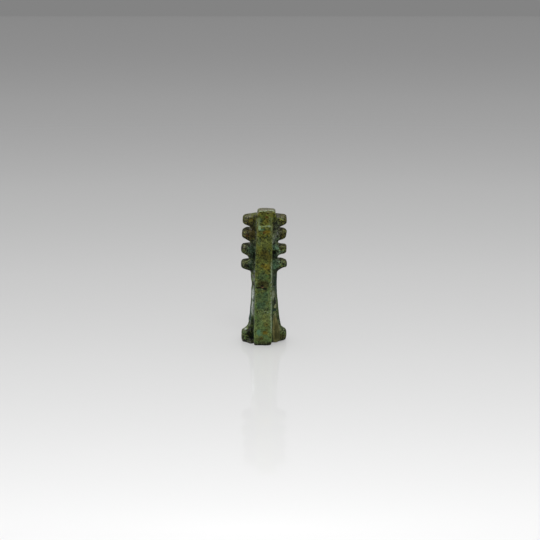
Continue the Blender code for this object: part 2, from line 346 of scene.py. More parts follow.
dents = {
    # marks that belong to one spot: place, reach and push, all in millimetres
    "back pillar": [
        ((-0.7, -5.3, 20.0), (1.1, 1.2, 0.8), (0.0, 0.42, 0.0)),  # the pit low on the waist
        ((0.2, -5.3, 21.3), (2.2, 1.5, 1.9), (0.0, 0.14, 0.0)),  # the worn hollow round it
        ((0.5, -5.3, 11.9), (0.35, 0.8, 0.3), (0.0, 0.25, 0.0)),  # two small chips
        ((1.2, -5.3, 11.5), (0.3, 0.8, 0.35), (0.0, 0.22, 0.0)),
        ((-2.6, -5.0, 35.0), (0.9, 2.0, 3.6), (0.28, 0.0, 0.0)),  # the left edge, a little worn in
        ((-2.7, -5.0, 40.6), (0.8, 2.0, 2.2), (0.22, 0.0, 0.0)),
        ((3.2, -5.0, 42.6), (0.8, 1.5, 1.2), (0.55, 0.0, 0.0)),  # the right edge, full at the first bar
    ],
    "foot of the pillar": [
        ((0.0, -5.3, 0.0), (3.0, 0.8, 0.5), (0.0, -0.38, -0.2)),  # the lower edge stands proud
        ((2.9, -5.2, 0.0), (0.8, 1.6, 1.0), (-0.05, 0.1, 0.2)),  # its broken right corner
        ((-4.1, -1.6, 0.0), (1.3, 1.8, 0.8), (0.0, -2.5, 0.0)),  # the fillets that run back from it
        ((4.1, -2.4, 0.0), (0.9, 1.5, 0.9), (0.0, -1.3, 0.1)),
    ],
    "base": [
        ((6.9, -1.0, 0.3), (1.6, 2.8, 0.9), (-0.4, 0.2, 0.45)),  # nibbled right corner
        ((5.8, -2.4, 0.0), (1.8, 1.6, 0.7), (0.0, 0.1, 0.32)),
        ((7.4, -2.2, 1.5), (0.6, 1.6, 0.8), (0.15, 0.0, 0.0)),
        ((-7.2, -2.2, 0.4), (0.8, 1.6, 0.7), (-0.25, -0.1, -0.15)),  # left corner
        ((-6.9, -0.5, 5.6), (0.9, 3.5, 0.7), (0.35, 0.0, -0.3)),  # upper edge on the left
        ((-7.1, 4.6, 4.2), (1.3, 2.0, 1.0), (0.2, -0.3, -0.45)),  # and its far corner
        ((-7.5, -1.0, 2.5), (0.8, 4.0, 1.2), (0.08, 0.0, 0.0)),  # left side
    ],
    "shaft": [
        ((-5.6, 0.0, 6.3), (1.2, 4.0, 1.2), (0.3, 0.0, -0.1)),  # the flare on the left
        ((-5.0, 0.0, 9.0), (0.9, 4.0, 2.0), (0.18, 0.0, 0.0)),
        ((-4.3, -1.0, 19.6), (0.7, 2.5, 1.3), (0.5, 0.0, 0.0)),  # left of the waist
        ((4.4, 0.0, 12.0), (0.8, 3.0, 5.0), (0.12, 0.0, 0.0)),  # the right side, a little full
    ],
    "terminal": [
        ((-2.5, -3.5, 45.0), (0.9, 3.0, 0.9), (0.7, 0.0, -0.35)),  # rounded left corner
        ((0.3, -5.0, 44.7), (3.2, 1.2, 0.6), (0.0, 0.0, 0.14)),  # front edge, a little raised
        ((-2.5, -4.0, 43.1), (0.7, 2.0, 0.5), (-0.45, 0.0, 0.0)),  # left side at its foot
        ((3.8, -3.0, 44.9), (0.8, 3.0, 0.9), (-0.28, 0.0, -0.15)),  # rounded right corner
    ],
    "first bar": [
        ((-5.0, 5.0, 42.7), (2.2, 1.6, 0.8), (0.0, 0.0, 0.04)),  # left part of the upper edge
        ((-7.4, 5.0, 42.4), (0.8, 1.6, 0.9), (0.15, 0.0, -0.08)),
        ((-2.9, 5.0, 42.9), (0.8, 1.6, 0.6), (0.0, 0.0, 0.27)),
        ((6.8, 5.0, 42.7), (1.5, 1.6, 0.8), (0.0, 0.0, -0.27)),  # right part
        ((7.7, 0.0, 41.7), (0.8, 4.0, 1.4), (-0.13, 0.0, 0.0)),  # right end
        ((-5.4, 0.0, 39.6), (0.8, 4.0, 0.5), (0.3, 0.0, 0.08)),  # underside on the left
    ],
    "second bar": [
        ((-6.2, 5.0, 38.0), (1.6, 1.6, 0.8), (0.0, 0.0, 0.3)),  # left part of the upper edge
        ((7.3, 0.0, 38.2), (0.7, 4.0, 0.6), (-0.15, 0.0, -0.05)),  # right end
        ((6.9, 0.0, 36.1), (0.9, 4.0, 0.8), (-0.25, 0.0, 0.2)),  # worn underside on the right
        ((-6.1, 0.0, 35.2), (0.9, 4.0, 0.6), (0.4, 0.0, 0.12)),  # and on the left
    ],
    "third bar": [
        ((-6.0, 5.0, 33.0), (1.5, 1.6, 0.7), (0.0, 0.0, -0.15)),  # left part of the upper edge
        ((-7.5, 0.0, 31.4), (0.9, 4.0, 1.4), (-0.15, 0.0, 0.0)),  # left end
        ((5.6, 5.0, 33.0), (1.5, 1.6, 0.7), (0.0, 0.0, -0.34)),  # right part of the upper edge
        ((6.3, 2.0, 33.1), (1.3, 5.0, 0.7), (0.0, 0.0, -0.28)),
        ((5.0, -0.5, 30.0), (1.1, 4.0, 0.7), (-0.1, 0.0, 0.78)),  # worn underside on the right
    ],
    "lowest bar": [
        ((-6.5, 5.0, 27.6), (1.3, 1.6, 0.7), (0.0, 0.0, -0.27)),  # left part of the upper edge
        ((-5.6, 2.0, 27.9), (0.9, 4.0, 0.6), (0.3, 0.0, 0.0)),
        ((5.6, 5.0, 27.6), (1.5, 1.6, 0.7), (0.0, 0.0, 0.2)),  # right part
        ((7.6, 0.0, 27.4), (0.7, 4.0, 0.6), (-0.12, 0.0, 0.0)),  # right end
        ((6.0, -0.5, 25.0), (1.6, 4.0, 0.8), (-0.1, 0.0, 0.55)),  # worn underside on the right
    ],
    "left ends": [
        ((-7.7, 0.0, 36.0), (0.9, 6.0, 8.5), (0.09, 0.0, 0.0)),  # all four, a little worn in
    ],
    "necks": [
        ((-4.9, 0.0, 38.9), (0.8, 4.0, 0.8), (0.35, 0.0, 0.0)),  # under the first bar, left and right
        ((5.2, 0.0, 38.9), (0.8, 4.0, 0.6), (-0.25, 0.0, 0.0)),
        ((-5.0, 0.0, 34.6), (0.9, 4.0, 1.1), (0.42, 0.0, 0.0)),  # under the second
        ((4.9, -1.0, 34.8), (1.2, 4.0, 1.2), (-0.35, 0.0, 0.15)),
        ((-4.9, 0.0, 28.8), (0.8, 4.0, 0.9), (-0.4, 0.0, 0.0)),  # under the third
        ((5.3, 0.0, 28.9), (0.8, 4.0, 0.7), (-0.45, 0.0, 0.0)),
    ],
}


class Clay(Web):
    # the Geometry Nodes tree: the body that its steps work on, and what they read on it
    def __init__(self, tree):
        super().__init__(tree)
        inputs = self.add("NodeGroupInput").outputs()
        self.given = {wire.socket.name: wire for wire in inputs if wire.socket.name}
        self.body = self.given["Geometry"]
        self.position = self.add("GeometryNodeInputPosition")
        self.normal = self.add("GeometryNodeInputNormal")
        self.place = self.scaled(self.position, 1 / mm)
        self.across, self.depth, self.height = self.split(self.place)

    def step(self, kind, settings=None, sockets=None):
        self.body = self.add(kind, settings, {"Geometry": self.body, **(sockets or {})})

    def push(self, offset):
        self.step("GeometryNodeSetPosition", {}, {"Offset": self.scaled(offset, mm)})

    def grow(self, amount):
        # outwards, or inwards where the amount is below zero
        self.push(self.scaled(self.normal, amount))

    def store(self, name, value):
        settings = {"data_type": "FLOAT", "domain": "POINT"}
        self.step("GeometryNodeStoreNamedAttribute", settings, {"Name": name, "Value": value})

    def blurred(self, value, rounds):
        sockets = {"Value": value, "Iterations": rounds}
        return self.add("GeometryNodeBlurAttribute", {"data_type": "FLOAT_VECTOR"}, sockets)

    def bulge(self, rounds):
        # how far the surface stands out of its own smoothed shape, in millimetres
        out = self.vector("SUBTRACT", self.position, self.blurred(self.position, rounds))
        return self.vector("DOT_PRODUCT", out, self.normal, take="Value") / mm

    def grit(self, reach, detail, rough):
        return self.noise(self.place, reach, detail, rough, seed=self.given["Seed"])

    def within(self, value, border):
        return self.ease(value, *wearBorders[border])


def addDents(clay):
    push = (0.0, 0.0, 0.0)
    for marks in dents.values():
        for centre, reach, shove in marks:
            push = clay.vector("MULTIPLY_ADD", clay.spot(clay.place, centre, reach), shove, push)
    clay.push(push)


def addChips(clay):
    bite = clay.within(clay.grit(clay.given["Chip reach"], 3.0, 0.6), "bite")
    chip = bite * clay.within(clay.bulge(smoothing["chip"]), "standsOut")
    clay.store("chip", chip)
    clay.grow(chip * clay.given["Chip depth"] * -1)


def ledgeMask(clay):
    foot = clay.given["Ledge height"]
    rise = clay.ease(clay.height, foot, foot + 0.25)
    return clay.within(clay.depth, "backFace") * rise * clay.within(clay.height, "ledgeFades")


def crackMask(clay):
    wander = (clay.grit(3.0, 3.0, 0.6) - 0.5) * clay.given["Crack wander"]
    away = (clay.height - clay.given["Crack height"] - wander) / clay.given["Crack width"]
    broken = clay.within(clay.noise(clay.place, 1.8, 2.0, 0.5, seed=3.0), "crackBreaks")
    return (away * away).fading() * clay.within(clay.depth, "crackSide") * broken


def lostMask(clay):
    # where the glaze has come away, right of the back pillar and low down
    ragged = (clay.grit(1.6, 3.0, 0.6) - 0.5) * clay.given["Scarp raggedness"]
    scarp = clay.given["Scarp start"] + ragged * 0.7 + 0.35 * clay.within(clay.height, "scarpTurn")
    for level, reach, jut in scarps:
        away = (clay.height - level) / reach
        scarp = scarp + (away * away).fading() * jut
    lost = clay.within(clay.across - scarp, "lostEdge") * clay.within(clay.height, "lostTop")
    rightEnd = clay.across + ragged * 0.6 + 1.4 * clay.within(clay.height, "flare")
    lost = lost * clay.within(rightEnd, "lostRight")
    return lost * clay.within(clay.depth + ragged, "lostFar") * clay.within(clay.depth, "lostNear")


def addUnevenness(clay):
    given = clay.given
    swell = clay.grit(given["Swell reach"], 1.0, 0.5) - 0.5
    ripple = clay.grit(given["Ripple reach"], 3.0, 0.55) - 0.5
    ledge = ledgeMask(clay)
    crack = crackMask(clay)
    lost = lostMask(clay)
    clay.store("crack", crack)
    clay.store("lost", lost)
    along = swell * given["Swell"] * 2 + ripple * given["Ripple"] * 2
    along = along - ledge * given["Ledge depth"] - crack * given["Crack depth"]
    clay.grow(along - lost * given["Glaze thickness"])


def addPits(clay):
    # left by bubbles and grit
    given = clay.given
    perSquareMetre = given["Pits per cm2"] * 10000
    spread = {"Mesh": clay.body, "Density": perSquareMetre, "Seed": given["Seed"]}
    points = clay.add("GeometryNodeDistributePointsOnFaces", {}, spread, "Points")
    near = clay.add("GeometryNodeProximity", {"target_element": "POINTS"}, {0: points}, "Distance") / mm
    nearest = clay.add("GeometryNodeSampleNearest", {"domain": "POINT"}, {"Geometry": points})
    sizes = {"Min": 0.35, "Max": 1.0, "ID": nearest}
    chance = clay.add("FunctionNodeRandomValue", {"data_type": "FLOAT"}, sizes)
    pit = clay.within(near / (given["Pit radius"] * chance), "pitWall") * chance
    clay.store("pit", pit)
    clay.grow(pit * given["Pit depth"] * -1)


def addShapeMarks(clay):
    # what the glaze shows of the shape
    clay.store("edge", clay.bulge(smoothing["edge"]))
    clay.store("seam", clay.bulge(smoothing["seam"]) * -1)
    clay.store("hollow", clay.bulge(smoothing["hollow"]) * -1)
    clay.store("up", clay.split(clay.normal)[2])


def flattenUnderside(clay):
    east, north, level = clay.split(clay.position)
    grounded = clay.add("ShaderNodeCombineXYZ", {}, {0: east, 1: north, 2: level.math("MAXIMUM", 0.0)})
    clay.step("GeometryNodeSetPosition", {}, {"Position": grounded})


def wearTree(material):
    tree = bpy.data.node_groups.new("mouldedAndWorn", "GeometryNodeTree")
    tree.interface.new_socket("Geometry", in_out="OUTPUT", socket_type="NodeSocketGeometry")
    tree.interface.new_socket("Geometry", in_out="INPUT", socket_type="NodeSocketGeometry")
    for name, value in wear.items():
        kind = "NodeSocketInt" if isinstance(value, int) else "NodeSocketFloat"
        tree.interface.new_socket(name, in_out="INPUT", socket_type=kind).default_value = value
    clay = Clay(tree)
    melted = clay.blurred(clay.position, clay.given["Melt steps"])
    clay.step("GeometryNodeSetPosition", {}, {"Position": melted})
    clay.grow(clay.given["Fullness"])
    addDents(clay)
    addChips(clay)
    addUnevenness(clay)
    addPits(clay)
    addShapeMarks(clay)
    flattenUnderside(clay)
    clay.step("GeometryNodeSetShadeSmooth")
    clay.step("GeometryNodeRealizeInstances")
    clay.step("GeometryNodeSetMaterial", {}, {"Material": material})
    out = tree.nodes.new("NodeGroupOutput")
    tree.links.new(clay.body.socket, out.inputs["Geometry"])
    return tree


def mergedForm():
    # the CAD node's mesh is loose triangles, so a copy of it is merged
    form = bmesh.new()
    form.from_mesh(cadNode.data)
    bmesh.ops.remove_doubles(form, verts=form.verts, dist=0.001 * mm)
    mesh = bpy.data.meshes.new("mouldedForm")
    form.to_mesh(mesh)
    form.free()
    moulded = bpy.data.objects.new("mouldedForm", mesh)
    bpy.context.scene.collection.objects.link(moulded)
    return moulded


def makeAmulet(material):
    moulded = mergedForm()
    skin = moulded.modifiers.new("skin", "REMESH")
    skin.mode = "VOXEL"
    skin.voxel_size = voxel
    worn = moulded.modifiers.new("worn", "NODES")
    worn.node_group = wearTree(material)
    for item in worn.node_group.interface.items_tree:
        if item.in_out == "INPUT" and item.name in wear:
            worn[item.identifier] = wear[item.name]
    graph = bpy.context.evaluated_depsgraph_get()
    finished = bpy.data.meshes.new_from_object(moulded.evaluated_get(graph), depsgraph=graph)
    finished.name = "glazed_amulet"
    amulet = bpy.data.objects.new("glazed_amulet", finished)
    bpy.context.scene.collection.objects.link(amulet)
    bpy.data.objects.remove(moulded)
    return amulet


# The glaze

glaze = {
    "green": (0.138, 0.212, 0.066, 1.0),
    "olive": (0.134, 0.157, 0.026, 1.0),
    "yellow": (0.230, 0.225, 0.040, 1.0),
    "paleGreen": (0.260, 0.330, 0.130, 1.0),
    "leafGreen": (0.120, 0.260, 0.060, 1.0),
    "seaGreen": (0.060, 0.130, 0.068, 1.0),
    "ochre": (0.225, 0.158, 0.012, 1.0),
    "brown": (0.055, 0.038, 0.008, 1.0),
    "rust": (0.165, 0.068, 0.012, 1.0),
    "teal": (0.013, 0.038, 0.027, 1.0),
    "paleTeal": (0.145, 0.265, 0.165, 1.0),
    "turquoise": (0.130, 0.320, 0.180, 1.0),
    "greyTeal": (0.125, 0.152, 0.088, 1.0),
    "dust": (0.165, 0.145, 0.095, 1.0),
    # painted highlight colour
    "paintedSheen": (0.330, 0.360, 0.325, 1.0),
    # painted light colour, for highlights and reflected light
    "paintedSageLight": (0.330, 0.390, 0.250, 1.0),
    # painted glint colour
    "paintedMintGlint": (0.370, 0.540, 0.270, 1.0),
    "poolTeal": (0.052, 0.098, 0.062, 1.0),
    "apricot": (0.340, 0.160, 0.075, 1.0),
    "wornRimAndHighlight": (0.330, 0.415, 0.275, 1.0),
    "crust": (0.036, 0.029, 0.005, 1.0),
    "mossCrustAndShade": (0.020, 0.030, 0.012, 1.0),
    "mauve": (0.050, 0.040, 0.038, 1.0),
    "umberAndShade": (0.014, 0.011, 0.004, 1.0),
    "bareBody": (0.235, 0.212, 0.074, 1.0),
    "bareShade": (0.080, 0.078, 0.024, 1.0),
    "dirtAndShadow": (0.004, 0.005, 0.003, 1.0),
}
washes = {
    # broad, ragged marks: colour, then places, reaches and strengths; some stand for painted shade and
    # painted light, as noted at each
    "seaGreen": [
        ((-1.4, -5.3, 42.0), (0.9, 1.0, 1.4), 0.6),
        ((-0.6, -5.3, 38.9), (1.6, 1.0, 0.6), 0.55),
        ((-1.6, -5.3, 35.0), (1.0, 1.0, 1.6), 0.35),
        ((-0.6, -5.3, 23.2), (1.7, 1.0, 1.3), 0.5),
        ((0.4, -5.3, 17.4), (0.9, 1.0, 1.2), 0.55),
        ((-0.3, -5.3, 16.0), (2.4, 1.0, 2.0), 0.4),
        ((-0.9, -5.3, 13.6), (1.7, 1.0, 1.6), 0.75),
        ((6.0, -2.4, 27.0), (1.6, 2.0, 1.2), 0.45),
    ],
    "paleGreen": [
        ((0.3, -5.3, 10.3), (2.8, 1.0, 3.2), 0.28),
        ((-1.8, -5.3, 41.0), (0.9, 1.0, 2.0), 0.45),
        ((0.0, -5.3, 34.5), (2.0, 1.0, 1.4), 0.18),
        ((2.2, -5.3, 41.3), (0.6, 1.0, 2.6), 0.4),
        ((2.2, -5.3, 37.0), (0.5, 1.0, 2.2), 0.25),
        ((6.0, -3.4, 42.2), (1.6, 1.5, 0.5), 0.6),
    ],
    "yellow": [
        ((-2.1, -5.3, 38.0), (0.4, 1.2, 4.5), 0.35),
        ((1.3, -5.3, 24.4), (0.7, 1.0, 0.6), 0.55),
        ((0.5, -5.3, 9.2), (1.3, 1.0, 1.8), 0.4),
        ((5.4, -4.0, 42.0), (0.8, 1.5, 0.5), 0.6),
        ((6.6, -4.0, 41.5), (0.9, 1.5, 0.6), 0.5),
        ((-6.6, -2.6, 37.1), (0.5, 1.5, 0.6), 0.85),
        ((-5.7, -2.6, 38.4), (1.1, 1.5, 0.3), 0.5),
        ((6.3, -2.2, 27.2), (0.8, 1.5, 0.6), 0.15),
    ],
    "ochre": [
        ((0.9, -5.3, 38.0), (1.5, 1.0, 0.9), 0.55),
        ((1.0, -5.3, 41.4), (1.0, 1.0, 0.8), 0.45),
        ((0.7, -5.3, 26.6), (1.9, 1.0, 1.2), 0.65),
        ((0.2, -5.3, 31.0), (1.4, 1.0, 0.8), 0.35),
        ((1.0, -5.3, 7.0), (1.0, 1.0, 0.9), 0.45),
        ((-4.1, -4.0, 41.9), (0.7, 1.5, 0.4), 0.5),
        ((-4.4, -3.4, 38.2), (1.0, 1.5, 0.7), 0.3),
    ],
    "brown": [
        ((0.5, -5.3, 30.5), (2.1, 1.0, 2.5), 0.55),
        ((-0.3, -5.3, 20.6), (2.3, 1.0, 1.4), 0.75),
        ((-1.2, -5.3, 2.0), (1.4, 1.0, 0.8), 0.75),
        ((-4.7, -3.6, 41.0), (2.0, 2.0, 1.5), 0.6),
        ((-4.4, -3.0, 37.4), (1.9, 2.0, 2.6), 0.8),
        ((5.4, -3.0, 36.6), (1.8, 1.5, 1.2), 0.55),
        ((6.0, -1.5, 1.8), (2.0, 2.0, 0.9), 0.55),
    ],
    "teal": [
        ((-3.6, -1.0, 15.0), (1.2, 2.0, 6.0), 0.6),
        ((3.9, -1.5, 21.5), (1.3, 2.5, 3.0), 0.6),
    ],
    "poolTeal": [
        ((-4.0, -2.0, 31.2), (1.8, 2.5, 3.4), 0.85),
        ((-4.0, -2.0, 26.2), (1.5, 2.5, 2.4), 0.85),
        ((4.2, -2.4, 29.6), (1.8, 2.0, 1.6), 0.8),
        ((4.8, -2.2, 27.6), (0.7, 2.0, 1.6), 0.7),
    ],
    # grey-teal glaze; the entries right of the back pillar are partly painted reflected light in that recess
    "greyTeal": [
        ((4.2, -3.0, 38.5), (1.4, 2.0, 3.4), 0.8),
        ((3.4, -3.0, 34.0), (1.0, 2.0, 1.4), 0.7),
        ((3.6, -2.0, 23.2), (1.2, 2.0, 1.6), 0.55),
        ((-3.2, -2.4, 33.6), (0.7, 2.0, 1.6), 0.7),
        ((-3.2, -2.4, 26.6), (0.7, 2.0, 2.4), 0.8),
    ],
    # painted reflected light in the recess right of the back pillar
    "paintedSageLight": [
        ((2.9, -3.0, 35.4), (0.8, 2.0, 1.8), 0.8),
        ((2.9, -3.0, 33.0), (0.9, 2.0, 1.4), 0.7),
    ],
    # pale teal glaze, partly painted reflected light in the recess right of the back pillar
    "paleTeal": [
        ((3.7, -2.6, 32.5), (1.5, 2.0, 1.2), 0.95),
        ((5.6, -2.4, 31.0), (1.2, 2.0, 0.5), 0.45),
        ((3.6, -2.4, 26.2), (1.1, 2.0, 2.4), 0.85),
        ((4.3, -2.6, 35.0), (1.0, 2.0, 1.2), 0.35),
    ],
    "dust": [
        ((-5.2, -3.6, 42.8), (1.3, 2.0, 0.5), 0.8),
        ((-6.4, -2.8, 32.7), (0.9, 2.0, 0.6), 0.35),
        ((5.7, -2.6, 33.0), (1.0, 1.5, 0.4), 0.35),
        ((5.7, -2.4, 28.5), (0.9, 1.5, 0.4), 0.35),
        # the next two are painted highlight: on the base's left end and on the light strip of the shaft's
        # right
        ((-6.3, -1.6, 4.8), (0.9, 1.5, 0.5), 0.4),
        ((3.2, -1.8, 16.4), (0.6, 1.5, 1.6), 0.8),
    ],
    "mauve": [
        ((6.5, -2.6, 42.6), (0.9, 1.5, 0.6), 0.6),
        ((6.7, -2.6, 32.9), (0.8, 1.5, 0.6), 0.6),
        ((-6.9, -2.8, 38.0), (0.7, 1.5, 0.6), 0.6),
        ((-6.9, -2.4, 32.6), (0.7, 1.5, 0.5), 0.4),
    ],
    # dark edges and stains, with painted shade in the corners and necks beside the back pillar and along the
    # foot
    "umberAndShade": [
        ((-5.6, -4.0, 41.0), (0.5, 1.5, 0.9), 0.75),
        ((5.6, 3.4, 42.9), (2.0, 4.0, 0.7), 0.85),
        ((-2.9, -3.6, 43.3), (0.8, 2.5, 0.8), 0.75),
        ((-4.5, -3.2, 38.6), (0.6, 2.0, 0.4), 0.8),
        ((-5.2, -2.8, 36.9), (0.6, 2.0, 1.0), 0.7),
        ((-4.8, -2.4, 33.6), (0.8, 2.5, 0.4), 0.75),
        ((5.3, -2.6, 36.8), (0.6, 2.0, 2.0), 0.85),
        ((-7.0, -2.4, 27.6), (0.7, 2.0, 0.8), 0.8),
        ((6.6, -2.4, 42.2), (0.7, 1.5, 0.5), 0.7),
        ((6.6, -2.4, 32.6), (0.6, 1.5, 0.5), 0.6),
        ((6.0, -2.4, 26.2), (0.6, 1.5, 0.5), 0.6),
        ((-3.3, -3.6, 40.0), (0.5, 1.5, 2.4), 0.6),
        ((0.0, -5.3, 0.9), (2.6, 1.0, 0.4), 0.55),
    ],
    # near black in the recesses left of the shaft, partly painted shade
    "dirtAndShadow": [
        ((-5.6, -2.4, 26.0), (0.5, 2.0, 0.5), 0.8),
        ((-4.4, -2.2, 3.4), (1.5, 2.0, 3.8), 0.93),
        ((-3.7, -1.6, 7.5), (0.9, 2.0, 1.6), 0.75),
    ],
}
